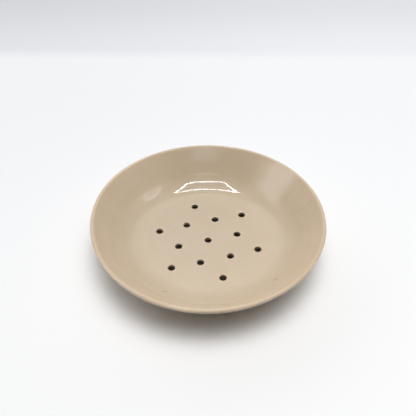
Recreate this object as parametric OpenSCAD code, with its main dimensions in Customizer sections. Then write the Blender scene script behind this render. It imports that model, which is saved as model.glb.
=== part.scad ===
// Round berry dish in glazed stoneware: a coupe bowl with a pierced floor, standing on a foot ring.
// The foot's resting face lies on Z = 0 and the dish's axis is the Z axis.
// Every size is that of the finished, glazed dish. The clay is the same shape, thinner by the glaze.

/* [Bowl] */
// Outer diameter over the lip
rim_d = 190; // [170:1:240]
// Depth from the top of the lip to the floor
bowl_depth = 28; // [20:0.5:34]
// Diameter of the flat part of the floor
floor_d = 100; // [94:1:110]
// Radius of the inside curve between floor and wall, where the wall has room for it
knuckle_r = 36; // [20:0.5:42]
// Thickness of the floor
floor_t = 5; // [4:0.1:8]
// Thickness of the wall at its rounded lip
lip_t = 3.6; // [2.8:0.1:5]

/* [Foot ring] */
// Outer diameter of the foot ring
foot_d = 112; // [108:1:122]
// Width of the foot ring
foot_w = 4.4; // [3.6:0.1:6]
// Height from the table to the underside of the floor
foot_h = 6; // [5:0.5:10]
// Radius of the hollow corners where the foot grows out of the dish
foot_fillet_r = 3; // [1:0.1:3.4]
// Radius of the foot's lower edges
foot_edge_r = 1.2; // [0.6:0.1:1.6]

/* [Drain holes] */
// Diameter of a drain hole, inside its glaze
hole_d = 5.5; // [3:0.1:7]
// Radius of a hole's upper edge
hole_edge_r = 0.9; // [0.5:0.05:1.4]
// Radius of a hole's lower edge
hole_under_r = 0.7; // [0.5:0.05:1.2]
// Pitch circle of the inner ring of holes
inner_pcd = 51; // [40:1:56]
// Number of holes in the inner ring
inner_count = 6; // [3:1:8]
// Pitch circle of the outer ring of holes
outer_pcd = 85; // [72:1:86]
// Number of holes in the outer ring
outer_count = 6; // [3:1:12]
// Turn of the first hole of the inner ring from the X axis
pattern_turn = 16.4; // [0:0.1:60]

/* [Glaze] */
// Thickness of the glaze
glaze_t = 0.4; // [0.2:0.05:0.6]
// Height of the bare clay between the table and the glaze line
bare_h = 1.6; // [1.6:0.1:2.4]

/* [Hidden] */
$fn = 120;

clay_color = [0.80, 0.74, 0.66];
glaze_color = [0.79, 0.71, 0.61];

// A cut runs this far past the surface that it opens
past = 1;
// A hole's cutter lies on the floor this far around the hole's rounded edge
lap = 0.2;
// A round reaches this far past the faces that it blends, so that each meets it along one edge
tuck = 0.001;
// Between the knuckle and the lip's round the wall is straight for at least this length
wall_min = 6;

floor_z = foot_h + floor_t;
floor_r = floor_d / 2;
foot_r = foot_d / 2;
lip_r = lip_t / 2;

// Centre of the lip's round, and its way out and up from the edge of the flat floor
lip_c = [rim_d / 2 - lip_r, floor_z + bowl_depth - lip_r];
run = lip_c[0] - floor_r;
rise = lip_c[1] - floor_z;

// Widest knuckle that leaves room for the straight wall. The line beside a face of that wall and
// through the lip's centre passes the knuckle's centre at the knuckle's radius and this much more.
function widest_knuckle(more) =
    (run * run + rise * rise - more * more - wall_min * wall_min) / (2 * (rise + more));

// Shared centre of the knuckle's inner and outer curves
inner_knuckle_r = min(knuckle_r, widest_knuckle(lip_r), widest_knuckle(floor_t - lip_r));
under_knuckle_r = inner_knuckle_r + floor_t;
knuckle_c = [floor_r, floor_z + inner_knuckle_r];

// Distance and direction from the knuckle's centre to the lip's centre
reach = norm(lip_c - knuckle_c);
aim = atan2(lip_c[1] - knuckle_c[1], lip_c[0] - knuckle_c[0]);
// The wall is straight above the knuckle. Each face touches both the knuckle's round and the lip's.
inner_slope = aim + asin((inner_knuckle_r + lip_r) / reach);
outer_slope = aim + asin((under_knuckle_r - lip_r) / reach);

// Centre of the hollow corner outside the foot, which touches the foot's side and the outer knuckle
corner_x = foot_r + foot_fillet_r;
corner_z = knuckle_c[1] - sqrt(pow(under_knuckle_r + foot_fillet_r, 2) - pow(corner_x - floor_r, 2));
foot_corner_c = [corner_x, corner_z];

// Unit vector that points out of a face of this slope, up and towards the axis
function face_normal(slope) = [-sin(slope), cos(slope)];

// Where the wall's inner face runs into the lip's round
function inner_wall_end(inset) = lip_c + (lip_r - inset) * face_normal(inner_slope);

// Where the wall's outer face runs into the lip's round
function outer_wall_end(inset) = lip_c - (lip_r - inset) * face_normal(outer_slope);

// A disc of the section, at a centre
module disc(centre, r) {
    translate(centre)
        circle(r = r);
}

// The room inside the bowl. Each face of the clay lies one inset below the glazed face.
module bowl_room(inset) {
    r = inner_knuckle_r + inset;
    top = lip_c[1] + lip_r + past;
    low = floor_z - inset;
    wall_end = inner_wall_end(inset);
    polygon([
        [0, low],
        [floor_r, low],
        knuckle_c - r * face_normal(inner_slope),
        wall_end,
        [wall_end[0], top],
        [0, top]
    ]);
    intersection() {
        disc(knuckle_c, r + tuck);
        translate([0, low])
            square([rim_d / 2, lip_c[1] - low]);
    }
}

// The outside of the bowl below its lip, filled to the axis
module bowl_mass(inset) {
    r = under_knuckle_r - inset;
    low = foot_h + inset;
    wall_end = inner_wall_end(inset);
    polygon([
        [0, low],
        [floor_r, low],
        knuckle_c - r * face_normal(outer_slope),
        outer_wall_end(inset),
        lip_c,
        wall_end,
        [0, wall_end[1]]
    ]);
    intersection() {
        disc(knuckle_c, r + tuck);
        translate([0, low])
            square([lip_c[0], lip_c[1] - low]);
    }
}

// The foot, filled to the axis, with its outer corner curving into the bowl
module foot_mass(inset) {
    side = foot_r - inset;
    edge = foot_edge_r - inset;
    mid_floor = foot_h + floor_t / 2;
    touch = foot_corner_c + (foot_fillet_r + inset)
        * (knuckle_c - foot_corner_c) / norm(knuckle_c - foot_corner_c);
    translate([0, edge])
        square([side, corner_z - edge]);
    square([side - edge, edge]);
    disc([side - edge, edge], edge);
    difference() {
        polygon([[0, corner_z], foot_corner_c, touch, [floor_r, mid_floor], [0, mid_floor]]);
        disc(foot_corner_c, foot_fillet_r + inset);
    }
}

// The room under the floor, inside the foot ring
module foot_room(inset) {
    side = foot_r - foot_w + inset;
    top = foot_h + inset;
    r = foot_fillet_r + inset;
    edge = foot_edge_r - inset;
    polygon([[0, -past], [side, -past], [side, top - r], [side - r, top], [0, top]]);
    disc([side - r, top - r], r);
    difference() {
        translate([side - past, -past])
            square([past + edge, past + edge]);
        disc([side + edge, edge], edge);
    }
}

// Half of the dish's section, without its holes
module dish_section(inset) {
    difference() {
        union() {
            bowl_mass(inset);
            foot_mass(inset);
        }
        bowl_room(inset);
        foot_room(inset);
    }
    disc(lip_c, lip_r - inset + tuck);
}

// What a drain hole takes away: all that the floor, with the hole's rounded edges, doesn't fill
module drain_hole(inset) {
    r = hole_d / 2 + inset;
    upper = hole_edge_r - inset;
    under = hole_under_r - inset;
    top = floor_z - inset;
    low = foot_h + inset;
    reach_r = r + max(upper, under) + lap;
    rotate_extrude()
        difference() {
            translate([0, low - past])
                square([reach_r, top - low + 2 * past]);
            translate([r, low + under])
                square([reach_r, top - upper - low - under]);
            translate([r + upper, low + under])
                square([reach_r, top - low - under]);
            translate([r + under, low])
                square([reach_r, top - upper - low]);
            disc([r + upper, top - upper], upper);
            disc([r + under, low + under], under);
        }
}

// A ring of drain holes on a pitch circle, the first one turned from the X axis
module hole_ring(pcd, count, turn, inset) {
    for (i = [0 : count - 1])
        translate(pcd / 2 * [cos(turn + i * 360 / count), sin(turn + i * 360 / count)])
            drain_hole(inset);
}

// The middle hole and the two rings. The outer ring is turned half an inner step.
module drain_holes(inset) {
    drain_hole(inset);
    hole_ring(inner_pcd, inner_count, pattern_turn, inset);
    hole_ring(outer_pcd, outer_count, pattern_turn + 180 / inner_count, inset);
}

// The whole dish with every face drawn in by the inset
module dish(inset) {
    difference() {
        rotate_extrude()
            dish_section(inset);
        drain_holes(inset);
    }
}

// Fired stoneware, with the foot's resting face and the strip below the glaze line bare
module clay_body() {
    color(clay_color)
        dish(glaze_t);
}

// Glass skin over all of the clay above the glaze line, and through every hole
module glaze_coat() {
    color(glaze_color)
        difference() {
            dish(0);
            dish(glaze_t);
            translate([0, 0, -past])
                cylinder(r = foot_r + past, h = past + bare_h);
        }
}

clay_body();
glaze_coat();
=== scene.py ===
"""Berry dish in glazed stoneware, dressed around its packed construction model in a plain pale studio.

Lengths are in metres. The dish stands on Z = 0, its axis is the Z axis, and the viewer looks along +Y.
Two pieces make the dish: the fired clay, bare under its foot, and the glaze that covers the rest.
"""
import math
from types import SimpleNamespace

import bpy
import numpy as np
from bpy.props import FloatProperty, FloatVectorProperty, IntProperty, PointerProperty
from mathutils import Matrix, Vector


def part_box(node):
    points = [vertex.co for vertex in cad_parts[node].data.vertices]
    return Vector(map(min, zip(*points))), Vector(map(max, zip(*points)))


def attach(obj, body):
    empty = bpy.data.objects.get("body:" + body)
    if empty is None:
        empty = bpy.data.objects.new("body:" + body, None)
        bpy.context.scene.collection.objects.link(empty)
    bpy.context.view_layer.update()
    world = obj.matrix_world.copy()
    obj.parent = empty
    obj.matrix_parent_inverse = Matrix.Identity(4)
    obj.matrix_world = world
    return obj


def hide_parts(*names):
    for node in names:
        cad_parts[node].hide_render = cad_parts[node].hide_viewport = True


bl_info = {
    "name": "Berry Dish",
    "version": (1, 0, 0),
    "blender": (4, 5, 0),
    "location": "3D View > Sidebar > Berry Dish",
    "description": "Builds a glazed berry dish with drain holes, its finishes and its studio",
    "category": "Add Mesh",
}

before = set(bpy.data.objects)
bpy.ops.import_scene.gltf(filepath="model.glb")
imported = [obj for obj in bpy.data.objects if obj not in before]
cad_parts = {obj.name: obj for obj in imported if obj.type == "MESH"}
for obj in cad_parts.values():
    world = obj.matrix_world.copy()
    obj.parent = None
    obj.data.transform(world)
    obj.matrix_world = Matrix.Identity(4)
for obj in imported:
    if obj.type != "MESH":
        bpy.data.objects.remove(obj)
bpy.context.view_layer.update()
GLAZE_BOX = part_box("glaze_coat")
CLAY_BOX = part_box("clay_body")

PHOTO_SIDE = 416
SENSOR_WIDTH = 36.0
RIGHT_ANGLE = math.pi / 2
FULL_TURN = 2 * math.pi


def length(name, description, default):
    """A length that the user can set, in metres."""
    return FloatProperty(name=name, description=description, default=default, unit="LENGTH", precision=5)


def share(name, description, default):
    """A share from 0 to 1."""
    return FloatProperty(name=name, description=description, default=default, min=0, max=1, subtype="FACTOR")


def colour(name, description, default):
    """A colour in linear light."""
    return FloatVectorProperty(
        name=name, description=description, default=default, min=0, max=1, size=3, subtype="COLOR"
    )


class DishSizes(bpy.types.PropertyGroup):
    """Sizes of the finished, glazed dish."""

    rim_d: length("Rim", "Outer diameter over the lip", round(2 * GLAZE_BOX[1].x, 4))
    top_z: length("Height", "Height of the lip over the table", round(GLAZE_BOX[1].z, 4))
    bowl_depth: length("Depth", "Depth from the lip to the floor", 0.028)
    floor_d: length("Floor", "Diameter of the flat part of the floor", 0.100)
    knuckle_r: length("Knuckle", "Radius of the inside curve between floor and wall", 0.036)
    floor_t: length("Floor thickness", "Thickness of the floor", 0.005)
    lip_t: length("Lip thickness", "Thickness of the wall at its rounded lip", 0.0036)
    foot_d: length("Foot", "Outer diameter of the foot ring", 0.112)
    foot_w: length("Foot width", "Width of the foot ring", 0.0044)
    foot_fillet_r: length("Foot fillet", "Radius of the hollow corners at the foot", 0.003)
    foot_edge_r: length("Foot edge", "Radius of the foot's lower edges", 0.0012)
    hole_d: length("Hole", "Diameter of a drain hole", 0.0055)
    hole_edge_r: length("Hole edge", "Radius of a hole's upper edge", 0.0009)
    hole_under_r: length("Hole under edge", "Radius of a hole's lower edge", 0.0007)
    inner_pcd: length("Inner ring", "Pitch circle of the inner ring of holes", 0.051)
    outer_pcd: length("Outer ring", "Pitch circle of the outer ring of holes", 0.085)
    pattern_turn: FloatProperty(
        name="Pattern turn",
        description="Turn of the first hole of the inner ring from the X axis",
        default=math.radians(16.4),
        subtype="ANGLE",
    )
    ring_count: IntProperty(name="Ring count", description="Holes in each ring", default=6, min=3)
    glaze_t: length("Glaze", "Thickness of the glaze", round(GLAZE_BOX[1].x - CLAY_BOX[1].x, 5))
    bare_h: length("Bare strip", "Height of the bare clay under the glaze line", round(GLAZE_BOX[0].z, 5))
    glaze_roll: length("Glaze roll", "Height of the rounded end of the glaze over its line", 0.0005)


class DishFinish(bpy.types.PropertyGroup):
    """Colours and gloss of the glaze and of the bare clay, and the painted shade in the drain holes."""

    glaze_colour: colour("Glaze", "The glaze on the walls", (0.677, 0.545, 0.396))
    pool_colour: colour("Pooled glaze", "The glaze where it pools on the floor", (0.609, 0.504, 0.374))
    turn_colour: colour("Glaze at the turn", "The glaze where the floor turns up", (0.636, 0.520, 0.385))
    cloud_colour: colour("Clouding", "The broad darker clouds in the glaze", (0.566, 0.453, 0.316))
    thin_colour: colour("Thin glaze", "The glaze where it thins over an edge", (0.70, 0.535, 0.37))
    # The two bore colours are painted shade inside the drain holes, not colours of the glaze.
    bore_shade_colour: colour("Bore", "The glaze in the upper half of a drain hole", (0.33, 0.26, 0.20))
    deep_bore_shade_colour: colour("Deep bore", "The glaze in the lower half of a drain hole", (0.02, 0.017, 0.015))
    speck_colour: colour("Specks", "Iron specks in the glaze", (0.22, 0.15, 0.09))
    glaze_roughness: share("Gloss", "Roughness of the glaze", 0.03)
    clay_colour: colour("Clay", "The fired clay under the foot", (0.62, 0.52, 0.40))
    clay_dark_colour: colour("Clay shade", "The darker grains of the clay", (0.47, 0.37, 0.26))
    clay_roughness: share("Clay roughness", "Roughness of the bare clay", 0.85)


class Studio(bpy.types.PropertyGroup):
    """Camera, lamps and backdrop."""

    camera_distance: length("Camera distance", "From the camera to what it aims at", 0.532)
    camera_elevation: FloatProperty(
        name="Camera elevation",
        description="Angle of the camera's axis under the horizon",
        default=math.radians(43.52),
        subtype="ANGLE",
    )
    camera_roll: FloatProperty(
        name="Camera roll",
        description="Turn of the picture about the camera's axis",
        default=math.radians(0.38),
        subtype="ANGLE",
    )
    camera_aim_x: length("Camera aim across", "How far right of the dish's axis the camera aims", -0.00025)
    camera_aim_y: length("Camera aim", "How far behind the dish's axis the camera aims", 0.0389)
    camera_aim_z: length("Camera aim height", "Height that the camera aims at", 0.011)
    focal_pixels: FloatProperty(
        name="Focal length", description="Focal length in pixels of a frame 416 wide", default=600.0
    )
    key_radiance: FloatProperty(
        name="Key", description="Brightness of the overhead light at its middle", default=9.14
    )
    key_spread: FloatProperty(
        name="Key spread",
        description="Angle over which the overhead light falls to 0.6 of its middle",
        default=math.radians(12.4),
        subtype="ANGLE",
    )
    key_tilt_right: FloatProperty(
        name="Key tilt right",
        description="Tilt of the overhead light to the right",
        default=math.radians(4.3),
        subtype="ANGLE",
    )
    key_tilt_front: FloatProperty(
        name="Key tilt front",
        description="Tilt of the overhead light to the front",
        default=math.radians(4.6),
        subtype="ANGLE",
    )
    window_radiance: FloatProperty(
        name="Window", description="Brightness of the broad light on the right at its middle", default=0.53
    )
    window_spread: FloatProperty(
        name="Window spread",
        description="Angle over which the light on the right falls to 0.6 of its middle",
        default=math.radians(13),
        subtype="ANGLE",
    )
    window_tilt: FloatProperty(
        name="Window tilt",
        description="Tilt of the light on the right from overhead",
        default=math.radians(38),
        subtype="ANGLE",
    )
    fill_level: FloatProperty(name="Fill", description="Light from the sides, on average", default=0.413)
    fill_swing: FloatProperty(
        name="Fill swing", description="How much more of it comes from the back left", default=1.124
    )
    fill_fall: FloatProperty(
        name="Fill fall", description="How much the light from the sides falls towards overhead", default=1.018
    )
    fill_side: FloatProperty(
        name="Fill side",
        description="Direction that the side light mostly comes from, from the X axis",
        default=math.radians(119.5),
        subtype="ANGLE",
    )
    surround: FloatProperty(
        name="Surround", description="Brightness behind the floor, as the camera sees it", default=0.85
    )
    surround_dim: FloatProperty(
        name="Dim surround", description="Brightness that the gloss reflects between the cards", default=0.2
    )
    far_edge: length("Far edge", "Where the pale floor ends behind the dish's axis", 0.328)


def arc(centre, radius, start, end, steps):
    """Points on a circle: centre + radius * (cos t, sin t), with t going evenly from start to end."""
    t = np.linspace(start, end, steps + 1)
    return np.column_stack([centre[0] + radius * np.cos(t), centre[1] + radius * np.sin(t)])


def lip_round(centre, radius, start, end, steps):
    """Points round the lip: a circle, but for its outer upper quarter, which is a little squarer.

    There the radius is multiplied by (|cos t|^n + |sin t|^n)^(-1/n), with n over 2.
    """
    t = np.linspace(start, end, steps + 1)
    c, s = np.abs(np.cos(t)), np.abs(np.sin(t))
    fuller = (c**LIP_SQUARENESS + s**LIP_SQUARENESS) ** (-1 / LIP_SQUARENESS)
    r = radius * np.where((t > 0) & (t < RIGHT_ANGLE), fuller, 1)
    return np.column_stack([centre[0] + r * np.cos(t), centre[1] + r * np.sin(t)])


def straight(start, end, steps):
    """Points on a line: start + t * (end - start), with t going evenly from 0 to 1."""
    t = np.linspace(0, 1, steps + 1)[:, None]
    return np.asarray(start, float) * (1 - t) + np.asarray(end, float) * t


def joined(*stretches):
    """The stretches one after the other, each point that two of them share taken once."""
    first = stretches[0]
    rest = [s[1:] if np.allclose(s[0], p[-1], atol=1e-9) else s for p, s in zip(stretches, stretches[1:])]
    return np.concatenate([first, *rest])


def measures(sizes):
    """Centres, radii and slopes of the section, worked out from the driving sizes.

    A face of the wall touches the knuckle's circle and the lip's. Its slope is the direction from the
    one centre to the other plus the arcsine of (knuckle radius + lip radius) / distance inside, and of
    (outer knuckle radius - lip radius) / distance outside. The foot's outer corner has its centre one
    corner radius outside the foot and one outside the outer knuckle's circle.
    """
    m = SimpleNamespace(sizes=sizes)
    m.floor_z = sizes.top_z - sizes.bowl_depth
    m.under_z = m.floor_z - sizes.floor_t
    m.floor_r = sizes.floor_d / 2
    m.foot_r = sizes.foot_d / 2
    m.foot_inner_r = m.foot_r - sizes.foot_w
    m.lip_r = sizes.lip_t / 2
    m.lip_c = np.array([sizes.rim_d / 2 - m.lip_r, sizes.top_z - m.lip_r])
    m.knuckle_c = np.array([m.floor_r, m.floor_z + sizes.knuckle_r])
    m.under_knuckle_r = sizes.knuckle_r + sizes.floor_t
    across, up = m.lip_c - m.knuckle_c
    reach = math.hypot(across, up)
    aim = math.atan2(up, across)
    m.inner_slope = aim + math.asin((sizes.knuckle_r + m.lip_r) / reach)
    m.outer_slope = aim + math.asin((m.under_knuckle_r - m.lip_r) / reach)
    corner_x = m.foot_r + sizes.foot_fillet_r
    corner_reach = m.under_knuckle_r + sizes.foot_fillet_r
    corner_z = m.knuckle_c[1] - math.sqrt(corner_reach**2 - (corner_x - m.floor_r) ** 2)
    m.corner_c = np.array([corner_x, corner_z])
    m.corner_angle = math.atan2(corner_z - m.knuckle_c[1], corner_x - m.floor_r)
    m.border_r = m.foot_inner_r - sizes.foot_fillet_r - BORDER_GAP
    return m


BORDER_GAP = 0.0002
LIP_SQUARENESS = 3.2
COLUMNS = 240
KNUCKLE_STEPS = 26
WALL_STEPS = 12
LIP_STEPS = 30
OUTSIDE_STEPS = 8
UNDER_KNUCKLE_STEPS = 14
FILLET_STEPS = 8
EDGE_STEPS = 6
HIDDEN_SHARE = 0.5


def steps_of(count, hidden):
    """Fewer steps on the side of the glaze that lies on the clay."""
    return max(2, round(count * HIDDEN_SHARE)) if hidden else count


def bowl_line(m, inset, hidden=False):
    """Section from the border of the pierced floor out over the wall and the lip, and down to the foot."""
    s = m.sizes
    floor = m.floor_z - inset
    lip_start = m.inner_slope + RIGHT_ANGLE
    lip_end = m.outer_slope - RIGHT_ANGLE
    knuckle = arc(
        m.knuckle_c, s.knuckle_r + inset, -RIGHT_ANGLE, m.inner_slope - RIGHT_ANGLE,
        steps_of(KNUCKLE_STEPS, hidden),
    )
    lip = lip_round(m.lip_c, m.lip_r - inset, lip_start, lip_end, steps_of(LIP_STEPS, hidden))
    under = arc(
        m.knuckle_c, m.under_knuckle_r - inset, lip_end, m.corner_angle,
        steps_of(UNDER_KNUCKLE_STEPS, hidden),
    )
    corner = arc(
        m.corner_c, s.foot_fillet_r + inset, m.corner_angle + math.pi, math.pi,
        steps_of(FILLET_STEPS, hidden),
    )
    return joined(
        straight([m.border_r, floor], [m.floor_r, floor], 1),
        knuckle,
        straight(knuckle[-1], lip[0], steps_of(WALL_STEPS, hidden)),
        lip,
        straight(lip[-1], under[0], steps_of(OUTSIDE_STEPS, hidden)),
        under,
        corner,
    )


def foot_line(m, inset, hidden=False):
    """Section of the foot's inner side, from just over the glaze line up to the border of the floor."""
    s = m.sizes
    fillet_c = [m.foot_inner_r - s.foot_fillet_r, m.under_z - s.foot_fillet_r]
    fillet = arc(fillet_c, s.foot_fillet_r + inset, 0, RIGHT_ANGLE, steps_of(FILLET_STEPS, hidden))
    return joined(fillet, straight(fillet[-1], [m.border_r, m.under_z + inset], 1))


def glaze_end(m, side, outward):
    """The rounded end of the glaze: a quarter ellipse from the glaze's face in to the clay's.

    Its points are side + t * (sin a, 0) along the glaze's thickness and roll * (1 - cos a) down.
    """
    s = m.sizes
    a = np.linspace(0, RIGHT_ANGLE, EDGE_STEPS + 1)
    across = side - outward * s.glaze_t * (1 - np.cos(a))
    return np.column_stack([across, s.bare_h + s.glaze_roll * (1 - np.sin(a))])


def foot_edge(m, inset):
    """Section of the bare foot from its outer side round both edges to its inner side."""
    s = m.sizes
    r = s.foot_edge_r - inset
    outer = arc([m.foot_r - s.foot_edge_r, r], r, 0, -RIGHT_ANGLE, EDGE_STEPS)
    inner = arc([m.foot_inner_r + s.foot_edge_r, r], r, -RIGHT_ANGLE, -math.pi, EDGE_STEPS)
    return joined(outer, inner)


def revolve(m, line):
    """A section carried round the axis: (r cos t, r sin t, z). Columns start at the hole pattern's turn."""
    t = m.sizes.pattern_turn + np.arange(COLUMNS) * FULL_TURN / COLUMNS
    r, z = line[:, 0][:, None], line[:, 1][:, None]
    return np.stack([r * np.cos(t), r * np.sin(t), np.broadcast_to(z, (len(line), COLUMNS))], axis=2)


INNER_EDGE_STEPS = 12
SPOKE_STEPS = 10
OUTER_EDGE_STEPS = 20
FLOOR_ROWS = 9
ROUND_ROWS = 7
BORE_ROWS = 4
UNDER_ROWS = 5


def polar(radius, angle):
    """The point (radius cos angle, radius sin angle)."""
    return np.array([radius * math.cos(angle), radius * math.sin(angle)])


def open_ended(points):
    """The points without the last one, which the next stretch of a closed outline starts with."""
    return points[:-1]


def cell_outlines(m):
    """Pairs of a hole's centre and its cell's outline, anticlockwise, which together tile the floor.

    Two cells meet half way between their holes. So the corners of the middle cell lie at a / sqrt(3)
    for an inner ring of radius a, those between the rings at (b^2 - a^2) / (2 (b - a cos 30)) for an
    outer ring of radius b, and the last ones on the border circle in line with the inner holes.
    """
    s = m.sizes
    a, b = s.inner_pcd / 2, s.outer_pcd / 2
    step = FULL_TURN / s.ring_count
    half = step / 2
    near_r = a / (2 * math.cos(half))
    far_r = (b * b - a * a) / (2 * (b - a * math.cos(half)))
    turns = s.pattern_turn + np.arange(s.ring_count) * step
    near = [polar(near_r, t + half) for t in turns]
    far = [polar(far_r, t + half) for t in turns]
    ring_t = s.pattern_turn + np.arange(COLUMNS) * FULL_TURN / COLUMNS
    ring = m.border_r * np.column_stack([np.cos(ring_t), np.sin(ring_t)])
    per_cell = COLUMNS // s.ring_count
    corner = [ring[k * per_cell] for k in range(s.ring_count)]
    hexagon = [straight(near[k - 1], near[k], INNER_EDGE_STEPS) for k in range(s.ring_count)]
    spoke = [straight(near[k], far[k], SPOKE_STEPS) for k in range(s.ring_count)]
    fan_left = [straight(far[k], corner[k], OUTER_EDGE_STEPS) for k in range(s.ring_count)]
    fan_right = [
        straight(far[k], corner[(k + 1) % s.ring_count], OUTER_EDGE_STEPS) for k in range(s.ring_count)
    ]
    cells = [(np.zeros(2), np.concatenate([open_ended(h) for h in hexagon]))]
    for k in range(s.ring_count):
        inner = [hexagon[k][::-1], spoke[k - 1], fan_right[k - 1], fan_left[k][::-1], spoke[k][::-1]]
        cells.append((polar(a, turns[k]), np.concatenate([open_ended(e) for e in inner])))
        border = np.roll(ring, -k * per_cell, axis=0)[: per_cell + 1]
        outer = [fan_left[k], border, fan_right[k][::-1]]
        cells.append((polar(b, turns[k] + half), np.concatenate([open_ended(e) for e in outer])))
    return cells


def hole_rows(m, inset, hidden=False):
    """Rows of a cell's surface, from its upper outline through the hole to its lower outline.

    Each row is (share of the way from the outline to the edge's round, radius at the hole, height).
    The flats are straight, the edges are quarter circles of radius edge - inset, and the bore is
    straight at hole radius + inset.
    """
    s = m.sizes
    upper_c = [s.hole_d / 2 + s.hole_edge_r, m.floor_z - s.hole_edge_r]
    under_c = [s.hole_d / 2 + s.hole_under_r, m.under_z + s.hole_under_r]
    rounds = steps_of(ROUND_ROWS, hidden)
    upper = arc(upper_c, s.hole_edge_r - inset, RIGHT_ANGLE, math.pi, rounds)
    under = arc(under_c, s.hole_under_r - inset, math.pi, 3 * RIGHT_ANGLE, rounds)
    bore = straight(upper[-1], under[0], steps_of(BORE_ROWS, hidden))
    through = joined(upper, bore, under)
    floor_rows = steps_of(FLOOR_ROWS, hidden)
    under_rows = steps_of(UNDER_ROWS, hidden)
    down = 1 - (1 - np.linspace(0, 1, floor_rows + 1)[:-1]) ** 1.6
    back = 1 - np.linspace(0, 1, under_rows + 1)[1:] ** 1.6
    way = np.concatenate([down, np.ones(len(through)), back])
    radius = np.concatenate(
        [np.full(floor_rows, upper[0, 0]), through[:, 0], np.full(under_rows, under[-1, 0])]
    )
    height = np.concatenate(
        [np.full(floor_rows, upper[0, 1]), through[:, 1], np.full(under_rows, under[-1, 1])]
    )
    return way, radius, height


def cell_surface(rows, centre, outline):
    """A cell's surface: centre + u * (D + way * (radius - D)) at each row's height.

    u is the direction from the hole's centre to a point of the outline, and D its distance.
    """
    way, radius, height = (a[:, None] for a in rows)
    out = outline - centre
    distance = np.hypot(out[:, 0], out[:, 1])
    direction = out / distance[:, None]
    flat = centre + direction * (distance + way * (radius - distance))[..., None]
    flat = np.where((way == 0)[..., None], outline, flat)
    return np.concatenate([flat, np.broadcast_to(height, flat.shape[:2])[..., None]], axis=2)


DRAW = 0.0026
OUT_OF_ROUND = ((1, 0.0022, -164), (2, 0.0015, -12), (3, 0.0044, 72), (4, 0.0025, -120))
SAG = 0.0035
SAG_TURN = math.radians(-60)


def as_fired(m, points):
    """The small warp that drying and firing leave.

    The radius changes by the share sum of (size * cos(k * t - phase)) - draw, with k from 1 to 4, and
    the lip sinks by the share (1 + cos 3(t - turn)) / 2 of its sag. Both grow with the radius squared.
    """
    radius = np.hypot(points[..., 0], points[..., 1])
    angle = np.arctan2(points[..., 1], points[..., 0])
    grow = (radius / (m.sizes.rim_d / 2)) ** 2
    out = sum(size * np.cos(k * angle - math.radians(phase)) for k, size, phase in OUT_OF_ROUND) - DRAW
    sag = SAG * (1 + np.cos(3 * (angle - SAG_TURN))) / 2
    warped = points.copy()
    warped[..., :2] *= (1 + out * grow)[..., None]
    warped[..., 2] *= 1 - sag * grow
    return warped


WELD = 1e-7


def closed_mesh(name, m, grids):
    """One mesh from (points, thin, deep, flipped) grids, whose columns all close on themselves.

    Points nearer than the weld are one vertex. A face joins four neighbours of a grid, in the order
    that points it out of the piece.
    """
    points, thin, deep, quads, first = [], [], [], [], 0
    for grid, thinness, depth, flipped in grids:
        rows, columns = grid.shape[:2]
        index = first + np.arange(rows * columns).reshape(rows, columns)
        here, there = index[:-1], index[1:]
        faces = np.stack([here, np.roll(here, -1, 1), np.roll(there, -1, 1), there], axis=2).reshape(-1, 4)
        quads.append(faces[:, ::-1] if flipped else faces)
        points.append(grid.reshape(-1, 3))
        thin.append(np.broadcast_to(thinness, (rows, columns)).reshape(-1))
        deep.append(np.broadcast_to(depth, (rows, columns)).reshape(-1))
        first += rows * columns
    points = np.concatenate(points)
    key = np.round(points / WELD).astype(np.int64)
    kept, index = np.unique(key, axis=0, return_index=True, return_inverse=True)[1:]
    quads = index.reshape(-1)[np.concatenate(quads)]
    vertices = as_fired(m, points[kept])
    mesh = bpy.data.meshes.new(name)
    mesh.vertices.add(len(vertices))
    mesh.vertices.foreach_set("co", vertices.astype(np.float32).ravel())
    mesh.loops.add(quads.size)
    mesh.loops.foreach_set("vertex_index", quads.astype(np.int32).ravel())
    mesh.polygons.add(len(quads))
    mesh.polygons.foreach_set("loop_start", np.arange(0, quads.size, 4, dtype=np.int32))
    mesh.polygons.foreach_set("use_smooth", np.ones(len(quads), bool))
    for title, values in ((THIN_ATTRIBUTE, thin), (DEEP_ATTRIBUTE, deep)):
        attribute = mesh.attributes.new(title, "FLOAT", "POINT")
        attribute.data.foreach_set("value", np.concatenate(values)[kept].astype(np.float32))
    mesh.update(calc_edges=True)
    mesh.validate()
    return mesh


THIN_ATTRIBUTE = "glaze_thin"
DEEP_ATTRIBUTE = "hole_depth"
THIN_FADE = 0.0022


def lip_thinness(m, line):
    """How thin the glaze lies along a section: 1 on the lip's round, fading to 0 along the wall."""
    off = np.hypot(line[:, 0] - m.lip_c[0], line[:, 1] - m.lip_c[1]) - m.lip_r
    return np.clip(1 - off / THIN_FADE, 0, 1)[:, None] ** 2


def hole_thinness(m, rows):
    """How thin the glaze lies round a hole: 1 on its upper edge, fading to 0 in the bore and outside."""
    way, _, height = rows
    depth = (m.floor_z - height) / m.sizes.hole_edge_r
    return (np.clip(way, 0, 1) ** 12 * np.clip(1.6 - depth, 0, 1))[:, None]


def hole_depth(m, rows):
    """How deep a point lies in its hole: 0 on the floor and on the underside, rising evenly in between.

    It is the share of the bore that lies over the point, taken back to 0 along the lower edge's round.
    """
    height = rows[2]
    down = (m.floor_z - height) / m.sizes.floor_t
    up = (height - m.under_z) / m.sizes.hole_under_r
    return np.clip(np.minimum(down, up), 0, 1)[:, None]


def pierced_floor(m, inset, hidden, flipped):
    """Grids of all 13 cells of the floor, through their holes and back along the underside."""
    rows = hole_rows(m, inset, hidden)
    thin = hole_thinness(m, rows)
    deep = hole_depth(m, rows)
    return [
        (cell_surface(rows, centre, outline), thin, deep, flipped) for centre, outline in cell_outlines(m)
    ]


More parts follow.
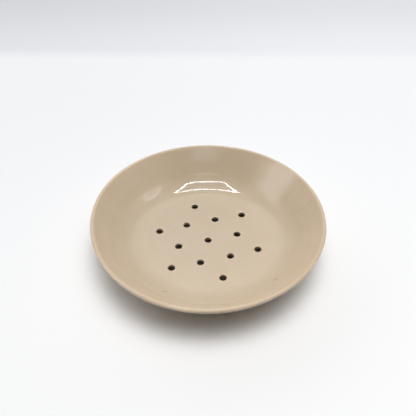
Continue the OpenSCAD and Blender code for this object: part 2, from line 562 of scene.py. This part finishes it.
def glaze_grids(m):
    """Grids of the glaze: its outer face, its rounded ends, and the face that lies on the clay."""
    t = m.sizes.glaze_t
    bowl = joined(
        bowl_line(m, 0),
        glaze_end(m, m.foot_r, 1),
        bowl_line(m, t, hidden=True)[::-1],
    )
    foot = joined(
        foot_line(m, t, hidden=True)[::-1],
        glaze_end(m, m.foot_inner_r, -1)[::-1],
        foot_line(m, 0),
    )
    return [
        (revolve(m, bowl), lip_thinness(m, bowl), 0.0, True),
        (revolve(m, foot), 0.0, 0.0, True),
        *pierced_floor(m, 0, False, False),
        *pierced_floor(m, t, True, True),
    ]


def clay_grids(m):
    """Grids of the clay: everything under the glaze, and the bare foot."""
    t = m.sizes.glaze_t
    body = joined(
        bowl_line(m, t, hidden=True),
        foot_edge(m, t),
        foot_line(m, t, hidden=True),
    )
    return [(revolve(m, body), 0.0, 0.0, True), *pierced_floor(m, t, True, False)]


def dish_piece(name, mesh, material, node):
    """An object for a finished mesh, which stands for its CAD node and rides with the dish."""
    mesh.materials.append(material)
    piece = bpy.data.objects.new(name, mesh)
    bpy.context.scene.collection.objects.link(piece)
    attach(piece, "root")
    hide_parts(node)
    return piece


class Nodes:
    """A short way to write a node tree: each call adds a node, sets its inputs and links sockets."""

    def __init__(self, tree):
        self.tree = tree
        tree.nodes.clear()

    def add(self, kind, inputs=None, **settings):
        """A node of a kind, with its settings, and its inputs given values or linked to sockets."""
        node = self.tree.nodes.new(kind)
        for name, value in settings.items():
            setattr(node, name, value)
        for name, value in (inputs or {}).items():
            self.put(node.inputs[name], value)
        return node

    def put(self, socket, value):
        """Links a socket, or sets it to a number or a colour."""
        if isinstance(value, bpy.types.NodeSocket):
            self.tree.links.new(value, socket)
        elif isinstance(socket, bpy.types.NodeSocketColor):
            socket.default_value = (*value[:3], 1)
        else:
            socket.default_value = value

    def mix(self, factor, first, second):
        """A colour that goes from the first to the second with the factor."""
        node = self.tree.nodes.new("ShaderNodeMix")
        node.data_type = "RGBA"
        for socket, value in zip((node.inputs[0], node.inputs[6], node.inputs[7]), (factor, first, second)):
            self.put(socket, value)
        return node.outputs[2]

    def spread(self, value, low, high, to_low=0.0, to_high=1.0):
        """A value taken smoothly from one range to another, and kept inside it."""
        node = self.add(
            "ShaderNodeMapRange",
            {"Value": value, "From Min": low, "From Max": high, "To Min": to_low, "To Max": to_high},
            interpolation_type="SMOOTHSTEP",
        )
        return node.outputs["Result"]

    def math(self, operation, first, second=0.0):
        """A sum, product or other operation on two numbers."""
        node = self.add("ShaderNodeMath", operation=operation)
        self.put(node.inputs[0], first)
        self.put(node.inputs[1], second)
        return node.outputs[0]

    def vector(self, operation, first, second=(0, 0, 0)):
        """A sum, product or other operation on two vectors."""
        node = self.add("ShaderNodeVectorMath", operation=operation)
        self.put(node.inputs[0], first)
        self.put(node.inputs[1], second)
        return node.outputs["Value" if operation in ("DOT_PRODUCT", "LENGTH") else "Vector"]

    def noise(self, where, scale, detail=2.0, roughness=0.5):
        """Noise with features about 1 / scale metres wide."""
        inputs = {"Vector": where, "Scale": scale, "Detail": detail, "Roughness": roughness}
        return self.add("ShaderNodeTexNoise", inputs).outputs["Fac"]


def new_material(name):
    """A material with an empty node tree."""
    material = bpy.data.materials.new(name)
    material.use_nodes = True
    return material, Nodes(material.node_tree)


RING_FINENESS = 230.0
RING_DRIFT = 9.0
BORE_SHADE_DEPTHS = (0.03, 0.10)
BORE_BLACK_DEPTHS = (0.48, 0.66)
POOL_EDGE = (0.0300, 0.0580)
WALL_START = (0.066, 0.075)
# Where the back wall's painted shade lies: ranges of y / radius and of the radius.
BACK_SHADE_SIDE = (0.78, 0.96)
BACK_SHADE_START = (0.062, 0.073)
SCUFFS = (((-0.0331, -0.0586), (0.0030, 0.0016)), ((0.0523, -0.0481), (0.0027, 0.0014)))
TRACE_X = (0.064, 0.071, 0.091, 0.086)
TRACE_BOTTOM = (0.078, 0.0204)
TRACE_BEND = 13.2
TRACE_WIDTH = 0.0016


def painted_back_wall_shade(n, axis, radius):
    """Painted shade on the wall at the back: strong where y / radius is high, and where the radius is high too.
    """
    side = n.spread(n.math("DIVIDE", axis["Y"], radius), *BACK_SHADE_SIDE)
    return n.math("MULTIPLY", side, n.spread(radius, *BACK_SHADE_START))


def throwing_rings(n, axis, radius):
    """Noise that changes fast along the radius and slowly round the dish, as a potter's fingers leave."""
    stretched = n.add("ShaderNodeCombineXYZ", {
        "X": n.math("MULTIPLY", radius, RING_FINENESS),
        "Y": n.math("MULTIPLY", axis["X"], RING_DRIFT),
        "Z": n.math("MULTIPLY", axis["Y"], RING_DRIFT),
    })
    return n.noise(stretched.outputs["Vector"], 1.0, 2.0)


def scuff(n, where, middle, half):
    """A ragged little mark: where the distance from an ellipse's middle, in its halves, is under 1."""
    near = n.vector("SUBTRACT", where, (*middle, 0))
    apart = n.vector("LENGTH", n.vector("MULTIPLY", near, (1 / half[0], 1 / half[1], 0)))
    ragged = n.math("ADD", apart, n.noise(where, 700, 2.0))
    return n.spread(ragged, 1.5, 0.9)


def trace(n, axis):
    """A faint line down the right wall: y = bottom + bend * (x - bottom x)^2, fading at both ends."""
    across = n.math("SUBTRACT", axis["X"], TRACE_BOTTOM[0])
    bent = n.math("MULTIPLY", n.math("MULTIPLY", across, across), TRACE_BEND)
    off = n.math("SUBTRACT", n.math("SUBTRACT", axis["Y"], TRACE_BOTTOM[1]), bent)
    line = n.spread(n.math("ABSOLUTE", off), TRACE_WIDTH, 0.0)
    ends = n.math("MULTIPLY", n.spread(axis["X"], *TRACE_X[:2]), n.spread(axis["X"], *TRACE_X[2:]))
    return n.math("MULTIPLY", line, ends)


def glaze_material(finish):
    """Glossy stoneware glaze, clouded and faintly ringed, paler where it pools and over the edges.

    It darkens down the holes in painted shade, the back wall carries painted shade too, and it has iron specks,
    two scuffs and one faint line.
    """
    material, n = new_material("glaze")
    where = n.add("ShaderNodeTexCoord").outputs["Object"]
    axis = n.add("ShaderNodeSeparateXYZ", {"Vector": where}).outputs
    radius = n.vector("LENGTH", n.vector("MULTIPLY", where, (1, 1, 0)))
    thin = n.add("ShaderNodeAttribute", attribute_name=THIN_ATTRIBUTE).outputs["Fac"]
    deep = n.add("ShaderNodeAttribute", attribute_name=DEEP_ATTRIBUTE).outputs["Fac"]
    turn = n.mix(n.spread(radius, *POOL_EDGE), finish.pool_colour, finish.turn_colour)
    body = n.mix(n.spread(radius, *WALL_START), turn, finish.glaze_colour)
    clouds = n.spread(n.noise(where, 38, 3.0, 0.55), 0.35, 0.72, 0.0, 0.8)
    body = n.mix(n.math("MULTIPLY", clouds, 0.36), body, finish.cloud_colour)
    rings = n.spread(throwing_rings(n, axis, radius), 0.35, 0.7)
    body = n.mix(n.math("MULTIPLY", rings, 0.15), body, finish.cloud_colour)
    # Painted shade darkens the back wall towards the cloud colour.
    body = n.mix(n.math("MULTIPLY", painted_back_wall_shade(n, axis, radius), 0.6), body, finish.cloud_colour)
    broken = n.math("MULTIPLY", thin, n.spread(n.noise(where, 240, 2.0), 0.2, 0.8, 0.45, 1.0))
    body = n.mix(n.math("MULTIPLY", broken, 0.55), body, finish.thin_colour)
    cells = n.add("ShaderNodeTexVoronoi", {"Vector": where, "Scale": 190.0})
    speck = n.spread(cells.outputs["Distance"], 0.075, 0.03)
    chosen = n.math("GREATER_THAN", n.add("ShaderNodeSeparateColor", {
        "Color": cells.outputs["Color"]}).outputs["Red"], 0.955)
    body = n.mix(n.math("MULTIPLY", n.math("MULTIPLY", speck, chosen), 0.35), body, finish.speck_colour)
    body = n.mix(n.math("MULTIPLY", trace(n, axis), 0.09), body, finish.speck_colour)
    for middle, half in SCUFFS:
        body = n.mix(n.math("MULTIPLY", scuff(n, where, middle, half), 0.28), body, finish.speck_colour)
    # Painted shade down the holes: brown in the upper bore, nearly black lower down.
    body = n.mix(n.spread(deep, *BORE_SHADE_DEPTHS), body, finish.bore_shade_colour)
    body = n.mix(n.spread(deep, *BORE_BLACK_DEPTHS), body, finish.deep_bore_shade_colour)
    gloss = n.spread(
        n.noise(where, 160, 2.0), 0.3, 0.7, finish.glaze_roughness * 0.8, finish.glaze_roughness * 1.5
    )
    ripple = n.noise(where, 70, 2.0, 0.4)
    bump = n.add("ShaderNodeBump", {"Height": ripple, "Strength": 0.05, "Distance": 0.0002})
    shader = n.add("ShaderNodeBsdfPrincipled", {
        "Base Color": body,
        "Roughness": gloss,
        "IOR": 1.5,
        "Normal": bump.outputs["Normal"],
    })
    n.add("ShaderNodeOutputMaterial", {"Surface": shader.outputs["BSDF"]})
    return material


def clay_material(finish):
    """Bare fired stoneware: matt, gritty, with darker grains and a toasted line at the glaze."""
    material, n = new_material("bare_clay")
    where = n.add("ShaderNodeTexCoord").outputs["Object"]
    grains = n.noise(where, 900, 3.0, 0.7)
    body = n.mix(n.spread(grains, 0.35, 0.75), finish.clay_colour, finish.clay_dark_colour)
    bump = n.add("ShaderNodeBump", {
        "Height": n.noise(where, 1400, 4.0, 0.7), "Strength": 0.5, "Distance": 0.0003})
    shader = n.add("ShaderNodeBsdfPrincipled", {
        "Base Color": body,
        "Roughness": finish.clay_roughness,
        "Normal": bump.outputs["Normal"],
    })
    n.add("ShaderNodeOutputMaterial", {"Surface": shader.outputs["BSDF"]})
    return material


class BERRYDISH_OT_add_clay_body(bpy.types.Operator):
    """Add the fired clay of the dish, bare under its foot"""

    bl_idname = "berry_dish.add_clay_body"
    bl_label = "Clay Body"

    def execute(self, context):
        m = measures(context.scene.berry_dish_sizes)
        mesh = closed_mesh("clay_body_fired", m, clay_grids(m))
        material = clay_material(context.scene.berry_dish_finish)
        dish_piece("clay_body_fired", mesh, material, "clay_body")
        return {"FINISHED"}


class BERRYDISH_OT_add_glaze_coat(bpy.types.Operator):
    """Add the glaze that covers the dish down to its glaze line"""

    bl_idname = "berry_dish.add_glaze_coat"
    bl_label = "Glaze Coat"

    def execute(self, context):
        m = measures(context.scene.berry_dish_sizes)
        mesh = closed_mesh("glaze_coat_fired", m, glaze_grids(m))
        material = glaze_material(context.scene.berry_dish_finish)
        dish_piece("glaze_coat_fired", mesh, material, "glaze_coat")
        return {"FINISHED"}


FLOOR_HALF = 3.0
FLOOR_BOUNCE = 0.66
# The floor's left to right and near to far colours are painted shade where the studio light falls off.
FLOOR_LEFT = (0.93, 0.935, 0.942)
FLOOR_RIGHT = (0.98, 0.983, 0.986)
FLOOR_LEFT_X = -0.22
FLOOR_RIGHT_X = 0.12
FAR_NEAR = (0.86, 0.875, 0.91)
FAR_SHADE = (0.75, 0.765, 0.795)
FAR_EDGE_SOFT = 0.018
FAR_DEPTH = 0.16
FAR_SIDES = (0.25, -0.40)
FAR_DIM = 0.13
FLOOR_FAR_SHADE = (0.78, 0.81, 0.86)
FLOOR_SHADE_START = -0.12
FLOOR_SHADE_END = 0.25
FLOOR_SHADE_SHARE = 0.30


def floor_mesh():
    """A flat square on Z = 0."""
    mesh = bpy.data.meshes.new("floor")
    corners = FLOOR_HALF * np.array([(-1, -1, 0), (1, -1, 0), (1, 1, 0), (-1, 1, 0)])
    mesh.from_pydata(corners.tolist(), [], [(0, 1, 2, 3)])
    return mesh


def is_seen(n):
    """1 for what the camera sees, by itself or through gloss or glass, and 0 for plain light."""
    path = n.add("ShaderNodeLightPath").outputs
    seen = n.math("MAXIMUM", path["Is Camera Ray"], path["Is Glossy Ray"])
    return n.math("MAXIMUM", seen, path["Is Transmission Ray"])


def floor_material(studio):
    """A white sheet that keeps the dish's shadow, and runs into a pale grey behind its far edge.

    It is a little darker to the left and to the back, and its grey is darker further back and to the sides:
    painted shade where the light falls off.
    """
    material, n = new_material("floor")
    where = n.add("ShaderNodeTexCoord").outputs["Object"]
    axis = n.add("ShaderNodeSeparateXYZ", {"Vector": where}).outputs
    across = n.spread(axis["X"], FLOOR_LEFT_X, FLOOR_RIGHT_X)
    off = n.spread(axis["Y"], FLOOR_SHADE_START, FLOOR_SHADE_END, 0.0, FLOOR_SHADE_SHARE)
    near = n.mix(off, n.mix(across, FLOOR_LEFT, FLOOR_RIGHT), FLOOR_FAR_SHADE)
    depth = n.spread(axis["Y"], studio.far_edge, studio.far_edge + FAR_DEPTH)
    dim = n.spread(axis["X"], *FAR_SIDES, 0.0, FAR_DIM)
    far = n.mix(dim, n.mix(depth, FAR_NEAR, FAR_SHADE), (0.0, 0.0, 0.0))
    edge = n.spread(axis["Y"], studio.far_edge - FAR_EDGE_SOFT, studio.far_edge + FAR_EDGE_SOFT)
    shown = n.mix(edge, near, far)
    sheet = n.add("ShaderNodeBsdfDiffuse", {"Color": n.mix(is_seen(n), (FLOOR_BOUNCE,) * 3, shown)})
    n.add("ShaderNodeOutputMaterial", {"Surface": sheet.outputs["BSDF"]})
    return material


def studio_object(name, mesh, material):
    """An object of the stage, which isn't part of the dish."""
    mesh.materials.append(material)
    thing = bpy.data.objects.new(name, mesh)
    bpy.context.scene.collection.objects.link(thing)
    return thing


def add_camera(studio):
    """A camera that aims behind the dish's axis, from the distance and elevation of the studio."""
    data = bpy.data.cameras.new("camera")
    data.sensor_width = SENSOR_WIDTH
    data.lens = studio.focal_pixels * SENSOR_WIDTH / PHOTO_SIDE
    data.clip_start = 0.01
    camera = bpy.data.objects.new("camera", data)
    bpy.context.scene.collection.objects.link(camera)
    e = studio.camera_elevation
    forward = Vector((0, math.cos(e), -math.sin(e)))
    right = Vector((1, 0, 0))
    up = right.cross(forward)
    turned_right = right * math.cos(studio.camera_roll) + up * math.sin(studio.camera_roll)
    turned_up = up * math.cos(studio.camera_roll) - right * math.sin(studio.camera_roll)
    aim = Vector((studio.camera_aim_x, studio.camera_aim_y, studio.camera_aim_z))
    axes = Matrix((turned_right, turned_up, -forward)).transposed().to_4x4()
    camera.matrix_world = Matrix.Translation(aim - forward * studio.camera_distance) @ axes
    bpy.context.scene.camera = camera


LAMP_Z = 0.4385
LAMP_LINES = (
    ((-0.066, -0.049), (0.088, -0.030), 0.0078, 16, 0.55),
    ((-0.064, 0.127), (0.078, 0.130), 0.0058, 9, 0.70),
    ((-0.066, -0.049), (-0.0715, 0.132), 0.0028, 1, 1.0),
    ((0.088, -0.030), (0.081, 0.134), 0.0028, 1, 1.0),
)
LAMP_STRENGTH = 50.0


def lamp_frame_mesh():
    """Flat lights along the lines of a frame overhead.

    Each line has a start, an end, half a width, a number of equal steps and the share of a step that
    its light fills. The corners are middle of the step +- half its light's length +- half the width.
    """
    corner = np.array([(-1, -1), (-1, 1), (1, 1), (1, -1)])
    flat = []
    for start, end, half_width, count, filled in LAMP_LINES:
        step = (np.array(end) - start) / count
        side = np.array([-step[1], step[0]]) * half_width / np.hypot(*step)
        middle = start + step * (np.arange(count)[:, None] + 0.5)
        flat.append((middle[:, None] + corner[:, :1] * step * filled / 2 + corner[:, 1:] * side).reshape(-1, 2))
    flat = np.concatenate(flat)
    points = np.column_stack([flat, np.full(len(flat), LAMP_Z)])
    mesh = bpy.data.meshes.new("lamp_frame")
    mesh.from_pydata(points.tolist(), [], np.arange(len(points)).reshape(-1, 4).tolist())
    return mesh


GLOW_ATTRIBUTE = "glow"
GLOW_STEPS = 24


RISE = 1.4
ARCH_PLACE = 0.72
ARCH_BREADTH = 0.20
ARCH_INSIDE = 0.45
ARCH_FOOT = (-0.46, -0.28)
ARCH_LEAN = 0.40


def oblong_glow(u, v, level, softness):
    """Brightness level * ((1 - u^2) * (1 - v^2))^softness, which fades out at the card's edges."""
    return level * ((1 - u**2) * (1 - v**2)) ** softness


def rising_glow(u, v, level, softness):
    """The oblong glow, brighter towards its top: times 1 + rise * v, where that is over 0."""
    return oblong_glow(u, v, level, softness) * np.maximum(1 + RISE * v, 0)


def ridge_glow(u, v, level, softness):
    """The oblong glow, brighter along two ridges and weaker towards its top.

    Each ridge adds gain * exp(-((u - place) / breadth)^2) to one, and the top takes 1 - fall * v.
    """
    ridges = sum(gain * np.exp(-(((u - place) / breadth) ** 2)) for place, breadth, gain in RIDGES)
    return oblong_glow(u, v, level, softness) * (1 + ridges) * (1 - RIDGE_FALL * v)


def arch_glow(u, v, level, softness):
    """A bright arch about a dimmer middle, brighter towards its top, with nothing across its foot.

    At p = sqrt(u^2 + v^2) it is level * arch * (1 + v / 3) * (1 - p^6)^softness, with the arch
    exp(-((p - place) / breadth)^2) and never under its inside level within that place. It fades to
    nothing from the top of its foot down.
    """
    p = np.hypot(u, v)
    arch = np.exp(-(((p - ARCH_PLACE) / ARCH_BREADTH) ** 2))
    arch = np.where(p < ARCH_PLACE, ARCH_INSIDE + (1 - ARCH_INSIDE) * arch, arch)
    foot = np.clip((v + ARCH_LEAN * u - ARCH_FOOT[0]) / (ARCH_FOOT[1] - ARCH_FOOT[0]), 0, 1)
    return level * arch * (1 + v / 3) * np.clip(1 - p**6, 0, 1) ** softness * foot


def glow_card(name, glow_at, middle, across, up, level, softness):
    """A flat light at middle + u * across + v * up, with u and v from -1 to 1, as bright as its glow."""
    side = np.linspace(-1, 1, GLOW_STEPS + 1)
    u, v = (g.reshape(-1, 1) for g in np.meshgrid(side, side))
    points = np.asarray(middle) + u * np.asarray(across) + v * np.asarray(up)
    index = np.arange(len(points)).reshape(GLOW_STEPS + 1, GLOW_STEPS + 1)
    faces = np.stack([index[:-1, :-1], index[:-1, 1:], index[1:, 1:], index[1:, :-1]], 2).reshape(-1, 4)
    mesh = bpy.data.meshes.new(name)
    mesh.from_pydata(points.tolist(), [], faces.tolist())
    glow = mesh.attributes.new(GLOW_ATTRIBUTE, "FLOAT", "POINT")
    glow.data.foreach_set("value", glow_at(u, v, level, softness).ravel().astype(np.float32))
    return mesh


def card_material():
    """A white light as bright as its glow, which lets what is behind it show where it fades out."""
    material, n = new_material("soft_card")
    level = n.add("ShaderNodeAttribute", attribute_name=GLOW_ATTRIBUTE).outputs["Fac"]
    glow = n.add("ShaderNodeEmission", {"Color": (1.0, 1.0, 1.0), "Strength": level})
    clear = n.add("ShaderNodeBsdfTransparent")
    both = n.add("ShaderNodeAddShader")
    n.put(both.inputs[0], glow.outputs["Emission"])
    n.put(both.inputs[1], clear.outputs["BSDF"])
    n.add("ShaderNodeOutputMaterial", {"Surface": both.outputs["Shader"]})
    return material


BACK_CARD = ((-0.01, 0.328, 0.32), (0.19, 0, 0), (0, 0, 0.33), 0.75, 0.25)
LEFT_CARD = ((-0.30, -0.060, 0.262), (0, 0.176, 0), (0, 0.142, 0.253), 1.40, 0.40)
RIDGES = ((-0.02, 0.29, 1.4), (0.53, 0.30, 1.3))
RIDGE_FALL = 0.45
RIGHT_CARD = ((0.30, 0.036, 0.44), (0, 0.120, 0), (0, 0.092, 0.21), 2.8, 0.5)
TOP_CARD = ((0.02, -0.25, 0.438), (0.10, 0, 0), (0, 0.04, 0), 1.8, 1.0)


def glow_material(name, strength):
    """A plain, cool white light."""
    material, n = new_material(name)
    glow = n.add("ShaderNodeEmission", {"Color": (0.86, 0.93, 1.0), "Strength": strength})
    n.add("ShaderNodeOutputMaterial", {"Surface": glow.outputs["Emission"]})
    return material


def only_reflected(thing):
    """Shows a light only where the gloss reflects it, so that it doesn't change the plain light."""
    thing.visible_camera = False
    thing.visible_diffuse = False
    thing.visible_shadow = False
    thing.visible_transmission = False


def direction(azimuth, tilt):
    """The unit vector tilted from the Z axis towards an azimuth."""
    across = math.sin(tilt)
    return across * math.cos(azimuth), across * math.sin(azimuth), math.cos(tilt)


def broad_light(n, d, middle, radiance, spread):
    """A soft round light in the sky: radiance * exp((cos a - 1) / spread^2) at an angle a off its middle."""
    near = n.math("SUBTRACT", n.vector("DOT_PRODUCT", d, middle), 1.0)
    return n.math("MULTIPLY", n.math("EXPONENT", n.math("MULTIPLY", near, 1 / spread**2)), radiance)


def set_world(studio):
    """Soft white light from overhead, from the right and from the sides, with no lamp in view.

    The side light is level + swing * (d . side) - fall * d.z in the direction d, where that is over 0.
    """
    world = bpy.data.worlds.new("studio")
    world.use_nodes = True
    bpy.context.scene.world = world
    n = Nodes(world.node_tree)
    d = n.add("ShaderNodeTexCoord").outputs["Generated"]
    overhead = Vector((math.tan(studio.key_tilt_right), -math.tan(studio.key_tilt_front), 1)).normalized()
    on_right = Vector((math.sin(studio.window_tilt), 0, math.cos(studio.window_tilt)))
    key = broad_light(n, d, overhead, studio.key_radiance, studio.key_spread)
    window = broad_light(n, d, on_right, studio.window_radiance, studio.window_spread)
    lean = (
        studio.fill_swing * math.cos(studio.fill_side),
        studio.fill_swing * math.sin(studio.fill_side),
        -studio.fill_fall,
    )
    fill = n.math("MAXIMUM", n.math("ADD", n.vector("DOT_PRODUCT", d, lean), studio.fill_level), 0.0)
    plain = n.math("ADD", n.math("ADD", key, window), fill)
    gloss = n.add("ShaderNodeLightPath").outputs["Is Glossy Ray"]
    room = n.add("ShaderNodeMix", {"Factor": gloss, "A": studio.surround, "B": studio.surround_dim})
    seen = n.add("ShaderNodeMix", {"Factor": is_seen(n), "A": plain, "B": room.outputs["Result"]})
    light = n.add("ShaderNodeBackground", {"Color": (1.0, 1.0, 1.0), "Strength": seen.outputs["Result"]})
    n.add("ShaderNodeOutputWorld", {"Surface": light.outputs["Background"]})


class BERRYDISH_OT_add_studio(bpy.types.Operator):
    """Add the camera, the soft overhead light, the lamp frame that the gloss reflects and the backdrop"""

    bl_idname = "berry_dish.add_studio"
    bl_label = "Studio"

    def execute(self, context):
        studio = context.scene.berry_dish_studio
        add_camera(studio)
        set_world(studio)
        studio_object("floor", floor_mesh(), floor_material(studio))
        lamp = studio_object("lamp_frame", lamp_frame_mesh(), glow_material("lamp_glow", LAMP_STRENGTH))
        only_reflected(lamp)
        soft = card_material()
        for name, glow_at, card in (
            ("back_card", rising_glow, BACK_CARD),
            ("left_card", ridge_glow, LEFT_CARD),
            ("right_card", arch_glow, RIGHT_CARD),
            ("top_card", oblong_glow, TOP_CARD),
        ):
            only_reflected(studio_object(name, glow_card(name, glow_at, *card), soft))
        context.scene.view_settings.view_transform = "Standard"
        return {"FINISHED"}


class BERRYDISH_PT_panel(bpy.types.Panel):
    """Lists the dish's pieces and its studio"""

    bl_idname = "BERRYDISH_PT_panel"
    bl_label = "Berry Dish"
    bl_space_type = "VIEW_3D"
    bl_region_type = "UI"
    bl_category = "Berry Dish"

    def draw(self, context):
        for group in (
            context.scene.berry_dish_sizes,
            context.scene.berry_dish_finish,
            context.scene.berry_dish_studio,
        ):
            box = self.layout.box()
            for name in group.__annotations__:
                box.prop(group, name)
        for operator in OPERATORS:
            self.layout.operator(operator.bl_idname)


OPERATORS = (BERRYDISH_OT_add_clay_body, BERRYDISH_OT_add_glaze_coat, BERRYDISH_OT_add_studio)
CLASSES = (DishSizes, DishFinish, Studio, *OPERATORS, BERRYDISH_PT_panel)


def register():
    """Registers the classes and hangs their settings on the scene."""
    for kind in CLASSES:
        bpy.utils.register_class(kind)
    bpy.types.Scene.berry_dish_sizes = PointerProperty(type=DishSizes)
    bpy.types.Scene.berry_dish_finish = PointerProperty(type=DishFinish)
    bpy.types.Scene.berry_dish_studio = PointerProperty(type=Studio)


def unregister():
    """Takes the settings off the scene and the classes out of Blender."""
    del bpy.types.Scene.berry_dish_sizes
    del bpy.types.Scene.berry_dish_finish
    del bpy.types.Scene.berry_dish_studio
    for kind in reversed(CLASSES):
        bpy.utils.unregister_class(kind)


def main():
    """Builds the dish and its studio."""
    register()
    bpy.ops.berry_dish.add_clay_body()
    bpy.ops.berry_dish.add_glaze_coat()
    bpy.ops.berry_dish.add_studio()


if __name__ == "__main__":
    main()
